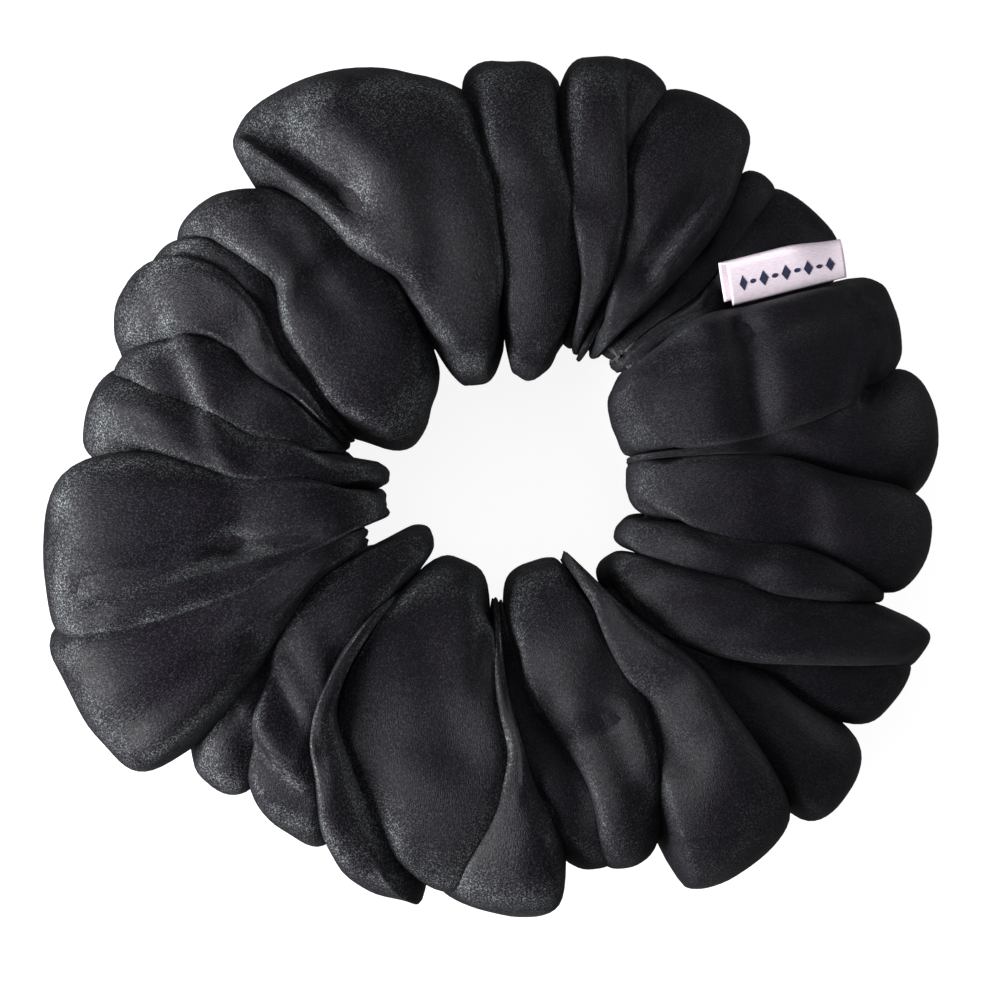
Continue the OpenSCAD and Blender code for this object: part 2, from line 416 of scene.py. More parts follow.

# %% [markdown]
# Then the grid is doubled both ways, and single folds are pressed in one by one: the pockets,
# tucks and lips that give each lobe its own character. A fold is a line in the view from above,
# along which the cloth moves towards the tube's middle or away from it. Its two sides can be
# different, one steep and one gentle, as where cloth turns over on itself. The walls inside the
# creases are left alone, or they would cut through each other.

# %% Listed folds pressed in
FOLDS = [
    # from angle and radius, to angle and radius, depth (below zero inward), left and right width
    (119.5, 44, 124, 55.5, -4.4, 2.0, 3.8), (122.8, 43, 128, 55, 1.6, 1.4, 1.4),
    (113.5, 46, 114.5, 51, 1.3, 4.0, 4.0),
    (197, 28, 195.2, 36, -2.2, 0.9, 2.4), (195.2, 36, 195.4, 56, -3.6, 1.0, 2.8),
    (188, 34, 189, 56, -0.9, 2.0, 3.5), (199.8, 34, 199, 52, 1.1, 1.6, 1.6),
    (208, 38, 209, 58, 0.9, 2.5, 3.0), (213, 40, 214, 57, -0.7, 2.0, 2.5),
    (263, 16, 263.8, 25.5, -1.9, 1.0, 1.6), (259, 17, 260, 27, 0.9, 1.5, 1.8),
    (250, 25, 262, 37, -1.2, 2.4, 2.4), (246, 40, 252, 52, -1.0, 2.0, 3.0),
    (222, 40, 228.5, 41.5, -1.7, 1.5, 1.7), (223.5, 44.5, 230.5, 46, 1.0, 1.2, 1.4),
    (229, 49, 235, 50, -1.5, 1.3, 1.5),
    (294, 36, 294, 49, -2.0, 2.5, 2.5), (283, 30, 284, 44, -1.2, 2.0, 2.4),
    (320, 27, 340, 50, -2.0, 2.0, 2.6), (341, 28, 341, 48, 0.9, 2.0, 2.0),
    (16, 34.5, 31, 37, -2.6, 3.0, 2.8), (13, 47, 20.5, 51.5, 1.5, 1.1, 1.2),
    (20.5, 51.5, 26, 53.5, 1.2, 1.0, 1.1), (13.5, 50, 25, 55.5, -1.9, 1.0, 1.0),
    (55, 34, 55, 45, -2.6, 1.8, 1.8), (51.5, 35, 51.5, 47, 1.0, 1.0, 1.2),
    (155.4, 45.5, 167, 39.5, 1.1, 3.2, 2.0), (160, 46.5, 165.5, 42.5, -1.6, 2.7, 3.2),
    (172, 40, 173, 52, -1.0, 2.5, 2.5), (134, 30, 131, 46, -0.8, 2.0, 2.0),
    (34.5, 29, 27, 53, -3.4, 3.2, 3.2),  # room for the label to lean back
    (238, 45, 239, 50, -1.2, 1.8, 1.8), (300, 28, 303, 44, -0.9, 2.2, 2.2),
    (350, 28, 351, 46, -0.9, 2.0, 2.5), (107, 26, 104, 40, -0.8, 2.2, 3.0),
]


def doubled(points, axis):
    """Twice the samples along one closed axis, by the cubic B-spline rule: an old point
    becomes (before + 6 here + after) / 8 and each new one the middle of its neighbours."""
    before, after = np.roll(points, 1, axis), np.roll(points, -1, axis)
    pair = np.stack([(before + 6 * points + after) / 8, (points + after) / 2], axis=axis + 1)
    shape = list(points.shape)
    shape[axis] *= 2
    return pair.reshape(shape)


def away_from_tube(points):
    """Unit directions from the tube's middle line to the points."""
    azimuth = np.arctan2(points[..., 1], points[..., 0])
    middle = np.stack([np.cos(azimuth), np.sin(azimuth), 0 * azimuth], axis=-1) * RING_R * MM
    return unit(points - middle)


def seen_at(azimuth, radius):
    """The frame's x and y, in mm, of a place given by its azimuth in the view."""
    turned = math.radians(azimuth - VIEW_TURN)
    return radius * math.cos(turned), radius * math.sin(turned)


def press(points, folds):
    """Moves the upper side along the line from the tube's middle by the sum of the folds,
    each depth * exp(-(side / width)^2 - (past / both widths)^2), where side is the distance
    from the fold's line and past the distance beyond its ends."""
    x, y, _ = np.moveaxis(points, -1, 0) / MM
    outward = away_from_tube(points)
    push = 0 * x
    for start_azimuth, start_r, end_azimuth, end_r, depth, left, right in folds:
        start_x, start_y = seen_at(start_azimuth, start_r)
        end_x, end_y = seen_at(end_azimuth, end_r)
        length = math.hypot(end_x - start_x, end_y - start_y)
        way_x, way_y = (end_x - start_x) / length, (end_y - start_y) / length
        along = (x - start_x) * way_x + (y - start_y) * way_y
        side = (y - start_y) * way_x - (x - start_x) * way_y
        past = np.maximum(np.maximum(-along, along - length), 0)
        width = np.where(side > 0, left, right)
        push += depth * np.exp(-(side / width) ** 2 - (past / (left + right)) ** 2)
    skin = 1 - smooth_step(np.abs(across_lobes(2 * SAMPLES)), ARCH, 1.0)[:, None]
    upper = smooth_step(outward[..., 2], 0.0, 0.4)
    return points + outward * (push * upper * skin)[..., None] * MM


def eased(points):
    """One pass of (before + 6 here + after) / 8 both ways, which takes off the last facets."""
    for axis in (0, 1):
        points = (np.roll(points, 1, axis) + 6 * points + np.roll(points, -1, axis)) / 8
    return points


fine = doubled(doubled(settled, 0), 1)
fine = eased(press(fine, FOLDS))
print(len(FOLDS), "folds pressed into", fine.shape[:2], "points")

# %% [markdown]
# No velvet is quite flat between its folds. Two layers of low random waves, the coarser some
# four by eight millimetres and the finer half that, break up the last even curves. The
# underside is pressed flat where it rests, a thread's thickness above the table.

# %% Ripples
THREAD_LIFT = 0.4 * MM  # the long seam's stitches lie between the cloth and the table


def ripples(points, seed, cells, height):
    """Random low waves: a lattice of random heights, one for each cell along and round,
    blended smoothly between its points and laid along the line from the tube's middle."""
    lattice = np.random.default_rng(seed).uniform(-1, 1, cells)
    u = np.arange(points.shape[0]) * cells[0] / points.shape[0]
    w = np.arange(points.shape[1]) * cells[1] / points.shape[1]
    i, j = u.astype(int), w.astype(int)
    share_u, share_w = smooth_step(u - i, 0, 1)[:, None], smooth_step(w - j, 0, 1)
    next_i, next_j = (i + 1) % cells[0], (j + 1) % cells[1]
    here = lattice[i][:, j] * (1 - share_w) + lattice[i][:, next_j] * share_w
    beyond = lattice[next_i][:, j] * (1 - share_w) + lattice[next_i][:, next_j] * share_w
    wave = here * (1 - share_u) + beyond * share_u
    return points + away_from_tube(points) * wave[..., None] * height * MM


fine = ripples(fine, seed=3, cells=(110, 14), height=0.35)
fine = ripples(fine, seed=5, cells=(260, 30), height=0.14)
fine[..., 2] = np.maximum(fine[..., 2], cad_low[2] + THREAD_LIFT)
print("sleeve's top, mm:", (fine[..., 2].max() / MM).round(1))

# %% [markdown]
# Real velvet has a woven back, so the sleeve gets a lining: the same surface a pile's depth
# further in, at a sixteenth of the points and turned to face the hollow, in the same mesh. The
# UV map is laid by length, u along the strip and v round the tube, so that the pile's pattern
# keeps its real size and its direction.

# %% The sleeve's mesh
PILE_AND_BACK = 0.6 * MM
LINING_STEP = 4
UV_UNIT = 100 * MM  # one UV unit is this long on the cloth


def grid_normals(points):
    """Unit normals of a closed grid: the cross product of its two central differences."""
    along = np.roll(points, -1, 0) - np.roll(points, 1, 0)
    around = np.roll(points, -1, 1) - np.roll(points, 1, 1)
    return unit(np.cross(along, around))


def grid_uv(points):
    """UVs of each quad's four corners, from the mean lengths of the steps: round the tube, and
    along the strip over the lobes' tops, where the pile is seen best."""
    around = points.shape[1]
    tops = slice(around // 8, around * 3 // 8)
    step_u = np.linalg.norm(np.roll(points, -1, 0) - points, axis=-1)[:, tops].mean(axis=1)
    step_w = np.linalg.norm(np.roll(points, -1, 1) - points, axis=-1).mean(axis=0)
    return quad_uv(running(step_u) / UV_UNIT, running(step_w) / UV_UNIT)


facing = grid_normals(fine)
outwards = np.sign((facing[..., 2] * fine[..., 2]).sum())
lining = (fine - outwards * facing * PILE_AND_BACK)[::LINING_STEP, ::LINING_STEP]
outer_faces, lining_faces = grid_faces(*fine.shape[:2]), grid_faces(*lining.shape[:2])
outer_uv, lining_uv = grid_uv(fine), grid_uv(lining)
if outwards < 0:
    outer_faces, outer_uv = outer_faces[:, ::-1], outer_uv[:, ::-1]
else:
    lining_faces, lining_uv = lining_faces[:, ::-1], lining_uv[:, ::-1]
sleeve = new_piece(
    "velvet_sleeve", np.concatenate([fine.reshape(-1, 3), lining.reshape(-1, 3)]),
    np.concatenate([outer_faces, lining_faces + fine.shape[0] * fine.shape[1]]).tolist(),
    np.concatenate([outer_uv, lining_uv]))
print("sleeve:", len(sleeve.data.polygons), "faces")

# %% [markdown]
# Black velvet is cut pile on a woven back, brushed to lie one way. Looked at straight into its
# pile it is nearly black; seen from the side it turns grey with sheen, and dark again at the
# very edge. That sheen is painted into the colour from the slant of the surface, and it is made
# stronger towards the view's left, where the raking key lamp stands: a painted light gradient.
# Tips that catch the light are painted glints, fine sparks in the colour, also brighter towards
# that lamp, and soft clouds where a hand has turned the pile vary the painted sheen. Hairs could
# be grown from the cloth, millions of them; patterns in the material give the same at arm's
# length. Real tips are a few hundredths of a millimetre across, too fine to show, so they are
# drawn coarser, a quarter of a millimetre wide, and so are the streaks of the nap, which follow
# v as it does.

# %% Velvet
TIP = 0.26  # sizes on the cloth, mm
STREAK_WIDTH, STREAK_LENGTH = 0.13, 0.6
CLOUD = 9.0
PER_MM = UV_UNIT / MM
# painted light: the sheen and glints painted into the velvet's colour grow towards this side
KEY_LAMP_SIDE = tuple(np.cross([0, 0, 1], view_up))  # the view's left, where the raking key lamp stands


def velvet():
    """Pile seen from above: near-black with violet in it, a painted cool grey sheen on its flanks,
    and painted glints; both are stronger towards the key lamp on the view's left.
    """
    material, tree = new_material("black_velvet")
    uv = add(tree, "TexCoord").outputs["UV"]
    place = add(tree, "TexCoord").outputs["Object"]
    nap = add(tree, "Mapping", {
        "Vector": uv, "Scale": (PER_MM / STREAK_WIDTH, PER_MM / STREAK_LENGTH, 1)}).outputs[0]
    streaks = add(tree, "TexNoise",
                  {"Vector": nap, "Scale": 1.0, "Detail": 2.0, "Roughness": 0.7},
                  noise_dimensions="2D").outputs["Fac"]
    tips = add(tree, "TexNoise", {"Vector": place, "Scale": 1 / (TIP * MM), "Detail": 3.0,
                                  "Roughness": 0.8}).outputs["Fac"]
    clouds = add(tree, "TexNoise", {"Vector": place, "Scale": 1 / (CLOUD * MM), "Detail": 3.0,
                                    "Roughness": 0.6}).outputs["Fac"]
    slant = add(tree, "LayerWeight", {"Blend": 0.5}).outputs["Facing"]
    # painted sheen: the colour turns grey where the surface is seen at a slant
    painted_flank_sheen = add(tree, "MapRange", {"Value": slant, "From Min": 0.05, "From Max": 0.45},
                interpolation_type="SMOOTHSTEP").outputs[0]
    # painted shade: that painted grey falls back to dark at the very silhouette
    edge = add(tree, "MapRange", {"Value": slant, "From Min": 0.42, "From Max": 0.85,
                                  "To Min": 1.0, "To Max": 0.12}).outputs[0]
    turned = add(tree, "MapRange", {"Value": clouds, "From Min": 0.36, "From Max": 0.66,
                                    "To Min": 0.12}).outputs[0]
    # painted light: sheen and glints grow towards the view's left, where the key lamp stands
    towards = add(tree, "VectorMath", {0: place, 1: KEY_LAMP_SIDE},
                  operation="DOT_PRODUCT").outputs["Value"]
    painted_key_side = add(tree, "MapRange", {"Value": towards, "From Min": -45 * MM,
                                     "From Max": 22 * MM, "To Min": 0.3}).outputs[0]
    # painted glints: bright specks in the colour where pile tips would catch the light
    painted_glints = add(tree, "ValToRGB", {"Fac": tips},
                 stops=[(0.50, "#000000"), (0.72, "#ffffff")]).outputs["Color"]
    painted_glints = add(tree, "Math", {0: painted_glints, 1: painted_key_side}, operation="MULTIPLY").outputs[0]
    # painted sheen: slant times silhouette, clouds and the painted light towards the key lamp
    painted_sheen = painted_flank_sheen
    for factor in (edge, turned, painted_key_side):
        painted_sheen = add(tree, "Math", {0: painted_sheen, 1: factor}, operation="MULTIPLY").outputs[0]
    # near-black violet pile with painted glints lifting it in specks
    dark = add(tree, "MixRGB", {0: painted_glints, 1: linear("#0a080d"), 2: linear("#393642")})
    # the painted sheen's cool grey, with painted glints in it
    grey = add(tree, "MixRGB", {0: painted_glints, 1: linear("#28292c"), 2: linear("#b4babc")})
    colour = add(tree, "MixRGB", {0: painted_sheen, 1: dark.outputs[0], 2: grey.outputs[0]})
    bump = add(tree, "Bump", {"Height": streaks, "Strength": 0.9, "Distance": 0.12 * MM})
    shader = add(tree, "BsdfPrincipled", {
        "Base Color": colour.outputs[0], "Roughness": 0.5, "Specular IOR Level": 0.12,
        "Sheen Weight": 0.05, "Sheen Roughness": 0.35, "Sheen Tint": linear("#b9c0c4"),
        "Normal": bump.outputs[0]})
    add(tree, "OutputMaterial", {"Surface": shader.outputs[0]})
    return material


sleeve.data.materials.append(velvet())
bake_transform(sleeve)
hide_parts("velvet_cover_far_half", "velvet_cover_seam_half")
print("velvet on", len(sleeve.data.polygons), "faces")

# %% [markdown]
# Inside the sleeve runs the elastic: a flat band braided over rubber cords, whose two ends lie
# over each other at the closing seam. A plain tape would do from afar, but the cords' ribs show
# on its faces and at its cut ends, so one ribbed section is swept along a path that rises
# outward by the band's own thickness where the end crosses over.

# %% The elastic
ELASTIC_R, ELASTIC_W, ELASTIC_T = 23.0, 8.0, 1.2
OVERLAP, LAP_GAP = 12.0, 0.05  # how far the ends lie over each other; air between them
CLIMB_FROM, CLIMB_TO = 345, 358  # degrees from the band's start, where its end rises
CORDS = 8
GROOVE = 0.16  # depth of the grooves between the cords, as a share of the section
FACE_POWER, EDGE_POWER = 0.35, 0.55  # below 1, they square off the round section
PATH_POINTS, SECTION_POINTS = 420, 96


def swept_band(name, path, across, up, profile):
    """A closed profile (k, 2) carried along an open path (n, 3): each point is the path plus
    profile x times across plus profile y times up. Both ends are capped."""
    points = (path[:, None] + profile[None, :, :1] * across[:, None]
              + profile[None, :, 1:] * up[:, None])
    count, corners = points.shape[:2]
    i, j = np.meshgrid(np.arange(count - 1), np.arange(corners), indexing="ij")
    here, beyond, after = i * corners, (i + 1) * corners, (j + 1) % corners
    quads = quads_of(here + j, beyond + j, beyond + after, here + after)
    caps = [list(range(corners)), list(range((count - 1) * corners, count * corners))[::-1]]
    step = np.linalg.norm(np.diff(path, axis=0), axis=-1)
    side = np.linalg.norm(np.roll(profile, -1, 0) - profile, axis=-1)
    uv = quad_uv(running(step) / UV_UNIT, running(side) / UV_UNIT)
    flat_uv = np.concatenate([np.ravel(uv), np.zeros(4 * corners)])
    return new_piece(name, points, quads.tolist() + caps, flat_uv)


half_lap = math.degrees(OVERLAP / ELASTIC_R) / 2
bearing = np.radians(np.linspace(-half_lap, 360 + half_lap, PATH_POINTS))
climb = smooth_step(np.degrees(bearing), CLIMB_FROM - half_lap, CLIMB_TO - half_lap)
path_r = ELASTIC_R + (ELASTIC_T + LAP_GAP) * climb
radial = np.stack([np.cos(bearing), np.sin(bearing), 0 * bearing], axis=-1)
upward = np.tile([0.0, 0.0, 1.0], (len(bearing), 1))
section = np.arange(SECTION_POINTS) * 2 * np.pi / SECTION_POINTS
face = np.abs(np.cos(section)) ** FACE_POWER * np.sign(np.cos(section))
edge = np.abs(np.sin(section)) ** EDGE_POWER * np.sign(np.sin(section))
groove = 0.5 + 0.5 * np.cos(np.pi * CORDS * edge + np.pi * CORDS)
rib = 1 - GROOVE * groove * (np.abs(edge) < 0.97)
ribbed = np.stack([face * rib * ELASTIC_T / 2, edge * ELASTIC_W / 2], axis=-1) * MM
elastic = swept_band("elastic_band", radial * path_r[:, None] * MM, radial, upward, ribbed)
print("elastic:", len(elastic.data.polygons), "faces; length, mm:",
      round(float(bearing[-1] - bearing[0]) * ELASTIC_R))

# %% [markdown]
# The braid's threads cross the band at a slant. Nobody sees them unless the sleeve is hidden,
# so they are not modelled one by one: a pattern of slanting bands, a little uneven, gives both
# colour and relief. The thread, the ribbon and the ink further down are finished in the same
# way, so one function holds what they share.

# %% Braid
def patterned_surface(tree, pattern, stops, relief, depth, finish):
    """Ends a node tree with a shader whose colour and bump both follow one pattern. stops are
    the ramp's, depth is the bump's in mm, and finish holds the shader's other inputs."""
    colour = add(tree, "ValToRGB", {"Fac": pattern}, stops=stops).outputs["Color"]
    bump = add(tree, "Bump",
               {"Height": pattern, "Strength": relief, "Distance": depth * MM}).outputs[0]
    shader = add(tree, "BsdfPrincipled",
                 {"Base Color": colour, "Normal": bump, **finish})
    add(tree, "OutputMaterial", {"Surface": shader.outputs[0]})


def braid():
    """Charcoal polyester: slanting threads, matt, with a little sheen from their loose fibres."""
    material, tree = new_material("braided_elastic")
    uv = add(tree, "TexCoord").outputs["UV"]
    lay = add(tree, "Mapping",
              {"Vector": uv, "Scale": (PER_MM / 0.9, PER_MM / 0.5, 1)}).outputs[0]
    threads = add(tree, "TexWave",
                  {"Vector": lay, "Scale": 0.32, "Distortion": 1.2, "Detail": 2.0},
                  bands_direction="DIAGONAL").outputs["Fac"]
    patterned_surface(tree, threads, [(0.15, "#141416"), (0.85, "#3d3d42")], 0.8, 0.15,
                      {"Roughness": 0.75, "Sheen Weight": 0.2})
    return material


elastic.data.materials.append(braid())
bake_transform(elastic)
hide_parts("elastic_far_half", "elastic_seam_half")
print("braid on", len(elastic.data.polygons), "faces")

# %% [markdown]
# The long seam, the closing seam and the elastic's join are sewn with two-ply thread. A seam
# could be one tube that dives in and out of the cloth, but only half of it would ever show, so
# each stitch is a short length with closed ends, and all the stitches of a seam are one array.

# %% Stitches
THREAD_R, STITCH, PITCH = 0.2, 2.2, 3.0
PLY = 0.15  # how much the two plies swell the thread's section
TWIST = 4.0  # radians that the plies turn in half a stitch
BOW = 0.18  # how far a stitch's middle stands off the cloth


def stitches(name, centres, along, up, length=STITCH):
    """One mesh of equal stitches. Along each, q runs from -1 to 1 and x is q * length / 2; the
    radius is R * sqrt(1 - q^4) * (1 + PLY * cos(2 (angle - TWIST * q))), and the middle line
    bows up by BOW * (1 - q^2)."""
    q = np.linspace(-1, 1, 11)[:, None]
    angle = np.arange(8)[None] * np.pi / 4
    taper = np.sqrt(np.maximum(1 - q ** 4, 0.003))
    radius = THREAD_R * taper * (1 + PLY * np.cos(2 * (angle - TWIST * q)))
    x = q * length / 2 + 0 * angle
    y = radius * np.cos(angle)
    z = radius * np.sin(angle) + BOW * (1 - q ** 2)
    offset = sum(part[..., None] * way[:, None, None]
                 for part, way in ((x, along), (y, np.cross(up, along)), (z, up)))
    points = centres[:, None, None] + offset * MM
    count, rows, corners = points.shape[:3]
    m, i, j = np.meshgrid(np.arange(count), np.arange(rows - 1), np.arange(corners),
                          indexing="ij")
    here = (m * rows + i) * corners
    beyond, after = here + corners, (j + 1) % corners
    quads = quads_of(here + j, here + after, beyond + after, beyond + j)
    start = np.arange(count)[:, None] * rows * corners
    first = start + np.arange(corners)[::-1]
    last = start + (rows - 1) * corners + np.arange(corners)
    piece = new_piece(name, points, quads.tolist() + first.tolist() + last.tolist())
    piece.data.materials.append(THREAD)
    print(name, count, "stitches")
    return piece


def thread():
    """Dark spun polyester with a soft sheen. Its fibres are too fine to show, so they are drawn
    coarser, as flecks 0.15 mm across."""
    material, tree = new_material("sewing_thread")
    place = add(tree, "TexCoord").outputs["Object"]
    fibres = add(tree, "TexNoise",
                 {"Vector": place, "Scale": 1 / (0.15 * MM), "Detail": 2.0}).outputs["Fac"]
    patterned_surface(tree, fibres, [(0.3, "#0c0c0e"), (0.75, "#2c2c31")], 0.5, 0.05,
                      {"Roughness": 0.55, "Sheen Weight": 0.2})
    return material


THREAD = thread()
print("one stitch:", STITCH, "mm long, one every", PITCH, "mm")

# %% [markdown]
# Where the seams run is read off the finished sleeve, so the stitches lie on the cloth whatever
# its shape. The long seam follows a line of the grid low on the throat's side and is left out
# inside the creases. The closing seam follows the crease beside the label, round the tube.

# %% Seams
LONG_SEAM_AT = 0.71  # share of the way round the tube
LOOK_AHEAD = 0.6 * MM  # a stitch's direction is taken this far before and after it
OPEN_RUN = 0.45  # the long seam shows where it runs less steeply than this into a crease
CLOSING_CREASE = 2  # the row of the crease that holds the closing seam


def seam_frames(path, pitch):
    """Centres and directions every pitch mm along a closed path, by interpolating its length."""
    closed = np.concatenate([path, path[:1]])
    length = running(np.linalg.norm(np.diff(closed, axis=0), axis=-1))
    at = np.arange(0.5 * pitch * MM, length[-1] - pitch * MM / 2, pitch * MM)

    def spots(distances):
        """The path's points at these distances from its start."""
        return np.stack([np.interp(distances, length, closed[:, k]) for k in range(3)], axis=-1)

    return spots(at), unit(spots(at + LOOK_AHEAD) - spots(at - LOOK_AHEAD))


def square_to(up, along):
    """The part of up at a right angle to along, as unit vectors."""
    return unit(up - (up * along).sum(axis=-1, keepdims=True) * along)


seam_path = fine[:, int(LONG_SEAM_AT * fine.shape[1])]
centres, along = seam_frames(seam_path, PITCH)
up = away_from_tube(centres)
seen = np.abs((up * along).sum(axis=-1)) < OPEN_RUN
centres, along, up = centres[seen], along[seen], square_to(up, along)[seen]
long_seam = stitches("long_seam_thread", centres, along, up)
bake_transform(long_seam)
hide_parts("long_seam_stitches_far_half", "long_seam_stitches_seam_half")

closing_path = fine[2 * int(SAMPLES[:CLOSING_CREASE].sum())]
centres, along = seam_frames(closing_path, PITCH)
closing_seam = stitches("closing_seam_thread", centres, along,
                        square_to(away_from_tube(centres), along))
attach(closing_seam, "seam_half")
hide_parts("closing_seam_stitches")

# %% [markdown]
# The elastic's overlap is held by two upright rows of three stitches, and since thread goes
# through and comes back, the same six lie on its inner face.

# %% The elastic's join
ROW_GAP, JOIN_STITCH = 2.6, 1.8
JOIN_LIFT = 0.1  # how far the thread's middle line stands off the band's faces

rows, heights = np.meshgrid(np.radians([-half_lap / 2, half_lap / 2]),
                            [-ROW_GAP, 0.0, ROW_GAP], indexing="ij")
rows, heights = rows.ravel(), heights.ravel()
spread = np.stack([np.cos(rows), np.sin(rows), 0 * rows], axis=-1)
upright = np.stack([0 * rows, 0 * rows, heights], axis=-1)
outer_side = spread * (ELASTIC_R + 1.5 * ELASTIC_T + LAP_GAP + JOIN_LIFT) + upright
inner_side = spread * (ELASTIC_R - 0.5 * ELASTIC_T - JOIN_LIFT) + upright
join = stitches("elastic_join_thread", np.concatenate([outer_side, inner_side]) * MM,
                np.tile([0.0, 0.0, 1.0], (2 * len(rows), 1)),
                np.concatenate([spread, -spread]), length=JOIN_STITCH)
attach(join, "seam_half")
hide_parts("elastic_join_stitches")

# %% [markdown]
# The label is a satin ribbon folded in half, its cut ends sewn into the closing seam. It
# stands a little open, so its near end shows the hollow of the loop, and its far end droops.
# A folded plane with a thickness added later would pinch at the fold, so the loop's wall is one
# closed outline swept across the ribbon's width.

# %% The label
LABEL_ROOT = np.array([45.4, -2.9, 8.5])
LABEL_YAW, LABEL_TILT = math.radians(-23), math.radians(52)
LABEL_W, LABEL_H, FOLD_R, RIBBON_T = 16.0, 8.0, 0.6, 0.25
PUFF, PART = 0.35, 0.45  # how far each layer bulges, and slides over the other at the near end
SHORTER, DROOP = 0.14, 1.6  # the far end's loss of height: as a share, and straight down in mm
width_way = np.array([math.cos(LABEL_YAW), math.sin(LABEL_YAW), 0])
level_way = np.array([-math.sin(LABEL_YAW), math.cos(LABEL_YAW), 0])
slope_way = level_way * math.cos(LABEL_TILT) + np.array([0, 0, math.sin(LABEL_TILT)])
face_way = np.cross(width_way, slope_way)


def on_label(x, y, z):
    """From the label's own millimetres (along its width, up its slope, off its face) to the
    frame. The layers bulge by PUFF * sin(pi * share), share being y / LABEL_H; the changes
    towards the two ends come in by smooth steps along x."""
    share = np.clip(y / LABEL_H, 0, 1)
    off = z + PUFF * np.sin(np.pi * share) * np.sign(z)
    x = x + PART * np.sign(z) * smooth_step(-x, 4, 8)
    y = y * (1 - SHORTER * smooth_step(x, 0, 8))
    spot = (LABEL_ROOT + x[..., None] * width_way + y[..., None] * slope_way
            + off[..., None] * face_way)
    spot[..., 2] -= DROOP * share * smooth_step(x, 1, 9)
    return spot * MM


flat_run = LABEL_H - FOLD_R
bend = np.linspace(-np.pi / 2, np.pi / 2, 17)
run = np.linspace(0, flat_run, 18)[:-1]


def loop_outline(radius):
    """The loop's section from one cut end round the fold to the other: y and z of its points."""
    return np.stack([np.concatenate([run, flat_run + radius * np.cos(bend), run[::-1]]),
                     np.concatenate([-radius + 0 * run, radius * np.sin(bend), radius + 0 * run])])


wall_y, wall_z = np.stack([loop_outline(FOLD_R), loop_outline(FOLD_R - RIBBON_T)], axis=-1)
width = np.linspace(-LABEL_W / 2, LABEL_W / 2, 49)
wide = np.broadcast_to(width[:, None, None], (len(width), *wall_y.shape))
ribbon_points = on_label(wide, np.broadcast_to(wall_y, wide.shape),
                         np.broadcast_to(wall_z, wide.shape))
number = np.arange(wide.size).reshape(wide.shape)
outside, inside = number[..., 0], number[..., 1]
ribbon_faces = np.concatenate([
    quads_of(outside[:-1, :-1], outside[1:, :-1], outside[1:, 1:], outside[:-1, 1:]),
    quads_of(inside[:-1, :-1], inside[:-1, 1:], inside[1:, 1:], inside[1:, :-1]),
    quads_of(outside[0, :-1], outside[0, 1:], inside[0, 1:], inside[0, :-1]),
    quads_of(inside[-1, :-1], inside[-1, 1:], outside[-1, 1:], outside[-1, :-1]),
    quads_of(inside[:-1, 0], inside[1:, 0], outside[1:, 0], outside[:-1, 0]),
    quads_of(outside[:-1, -1], outside[1:, -1], inside[1:, -1], inside[:-1, -1])])
wall_length = running(np.hypot(np.diff(wall_y[:, 0]), np.diff(wall_z[:, 0])))
vertex_uv = np.stack([wide, np.broadcast_to(wall_length[:, None], wide.shape)], axis=-1)
vertex_uv = vertex_uv.reshape(-1, 2) * MM / UV_UNIT
ribbon = new_piece("satin_label", ribbon_points, ribbon_faces.tolist(), vertex_uv[ribbon_faces])
print("label:", len(ribbon_faces), "faces")

# %% [markdown]
# Satin is woven so that its threads float over several others before they dip, which makes it
# shine, and more so one way than the other. An even gloss would look like film, so a streaky
# pattern stands for the threads, and the gloss is anisotropic.

# %% Satin
def satin():
    """Pale pink satin: threads a tenth of a millimetre apart that run across the ribbon,
    parallel to the fold, under a silky gloss."""
    material, tree = new_material("pink_satin")
    uv = add(tree, "TexCoord").outputs["UV"]
    lay = add(tree, "Mapping",
              {"Vector": uv, "Scale": (PER_MM / 0.9, PER_MM / 0.11, 1)}).outputs[0]
    weave = add(tree, "TexNoise", {"Vector": lay, "Scale": 1.0, "Detail": 2.0},
                noise_dimensions="2D").outputs["Fac"]
    patterned_surface(tree, weave, [(0.3, "#dccbd9"), (0.7, "#f0e4ee")], 0.35, 0.04,
                      {"Roughness": 0.38, "Anisotropic": 0.4, "Specular IOR Level": 0.45,
                       "Sheen Weight": 0.1})
    return material


ribbon.data.materials.append(satin())
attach(ribbon, "label")
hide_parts("label_ribbon")
print("satin on", len(ribbon.data.polygons), "faces")

# %% [markdown]
# The print is a plain row of lozenges and dots in thin navy ink. It could be a pattern in the
# satin's material, but as thin bodies the marks keep sharp edges. Each is a polygon in polar
# form: a lozenge has r = 1 / (|cos| / a + |sin| / b), a dot a constant r.

# %% The printed marks
MARKS, MARK_PITCH = 9, 1.5
ROW_HEIGHT = 4.3  # from the seam up the label's slope to the marks' middles
INK, INK_DEPTH = 0.05, 0.1  # how far a mark stands off the ribbon and reaches into it
LOZENGE_W, LOZENGE_H, DOT = 0.62, 1.5, 0.42  # half sizes
CORNERS = 24

row_x = (np.arange(MARKS) - (MARKS - 1) / 2) * MARK_PITCH
phi = np.arange(CORNERS) * 2 * np.pi / CORNERS
lozenge = 1 / (np.abs(np.cos(phi)) / LOZENGE_W + np.abs(np.sin(phi)) / LOZENGE_H)
reach = np.where((np.arange(MARKS) % 2 == 0)[:, None], lozenge, DOT)
rim_x = row_x[:, None] + reach * np.cos(phi)
rim_y = ROW_HEIGHT + reach * np.sin(phi)
lift = np.array([-INK_DEPTH, INK])[:, None, None]
rims = on_label(rim_x + 0 * lift, rim_y + 0 * lift, FOLD_R + lift + 0 * rim_x)
back, front = np.arange(2 * MARKS * CORNERS).reshape(2, MARKS, CORNERS)
sides = quads_of(back, np.roll(back, -1, axis=1), np.roll(front, -1, axis=1), front)
marks = new_piece("label_print", rims, sides.tolist() + front.tolist() + back[:, ::-1].tolist(),
                  smooth=False)


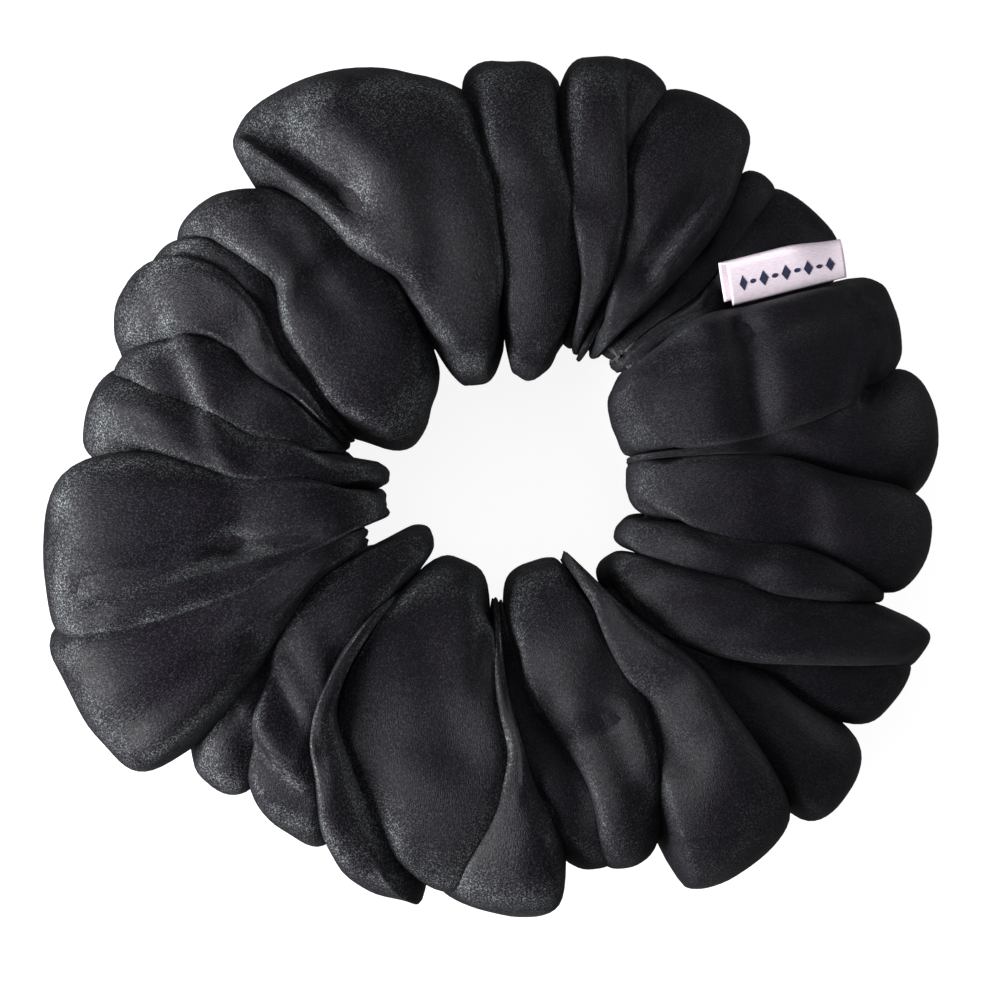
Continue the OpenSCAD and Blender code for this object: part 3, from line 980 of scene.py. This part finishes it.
def ink():
    """Navy ink on ribbon: matt, and a little uneven, since it lies on threads."""
    material, tree = new_material("navy_print")
    place = add(tree, "TexCoord").outputs["Object"]
    patch = add(tree, "TexNoise",
                {"Vector": place, "Scale": 1 / (0.25 * MM), "Detail": 2.0}).outputs["Fac"]
    patterned_surface(tree, patch, [(0.35, "#20233c"), (0.75, "#3a3d5c")], 0.3, 0.02,
                      {"Roughness": 0.6})
    return material


marks.data.materials.append(ink())
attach(marks, "label")
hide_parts("label_motif")
print(MARKS, "marks printed")

# %% [markdown]
# The sleeve was cut as one strip, 140 mm wide and 560 mm long; the label is 16 mm of ribbon,
# folded over once. Only the ribbon's length round its loop is computed here, and printed.

# %% Cut sizes
print("ribbon cut to", round(float(wall_length[-1]), 1), "mm")

# %% [markdown]
# The ring lies on plain white paper. Matt white alone would do, but the lights are placed for
# the velvet and leave it uneven, so the paper glows a little of its own accord. It is hidden
# from the bounced rays, or it would throw grey light up under every lobe.

# %% The paper
PAPER_HALF = 2.0  # metres
PAPER_GAP = 0.2 * MM  # below the lobes, so that the two surfaces do not flicker

paper_z = cad_low[2] - PAPER_GAP
corners = [(-1, -1), (1, -1), (1, 1), (-1, 1)]
paper = new_piece("paper", [(x * PAPER_HALF, y * PAPER_HALF, paper_z) for x, y in corners],
                  [(0, 1, 2, 3)], smooth=False)


def white_paper():
    """Matt white paper that glows just enough to stay white away from the lights."""
    material, tree = new_material("white_paper")
    shader = add(tree, "BsdfPrincipled", {
        "Base Color": linear("#959595"), "Roughness": 0.9,
        "Emission Color": linear("#ffffff"), "Emission Strength": 0.9})
    add(tree, "OutputMaterial", {"Surface": shader.outputs[0]})
    return material


paper.data.materials.append(white_paper())
paper.visible_diffuse = paper.visible_glossy = False
print("paper at", round(paper_z / MM, 2), "mm")

# %% [markdown]
# Velvet shows its folds only in light from the side; light from above leaves it black all over.
# So the strongest lamp stands low and rakes across the lobes: the side towards it shows the
# grain of the pile, and the far side falls away to black. A weak lamp opposite and one overhead
# keep the darkest creases open.

# %% The lights
def softbox(name, azimuth, elevation, distance, size, power):
    """A square area light that looks at the ring's middle. The angles, in degrees, are its
    azimuth in the view and its height above the table; lengths are metres, power is watts."""
    lamp_data = bpy.data.lights.new(name, "AREA")
    lamp_data.size = size
    lamp_data.energy = power
    lamp = bpy.data.objects.new(name, lamp_data)
    bpy.context.collection.objects.link(lamp)
    turned, raised = math.radians(azimuth - VIEW_TURN), math.radians(elevation)
    direction = Vector((math.cos(raised) * math.cos(turned), math.cos(raised) * math.sin(turned),
                        math.sin(raised)))
    lamp.location = direction * distance
    lamp.rotation_euler = direction.to_track_quat("Z", "Y").to_euler()
    return lamp


lamps = [softbox("raking_key", 200, 26, 0.8, 0.4, 19.0),
         softbox("low_fill", 20, 20, 0.8, 0.4, 2.5),
         softbox("overhead", 110, 70, 0.9, 0.6, 1.5)]
studio = bpy.data.worlds.new("studio")
bpy.context.scene.world = studio
studio.use_nodes = True
background = studio.node_tree.nodes["Background"].inputs
background["Color"].default_value = linear("#ffffff")
background["Strength"].default_value = 0.12
bpy.context.scene.view_settings.view_transform = "Standard"
print("lights:", [lamp.name for lamp in lamps])
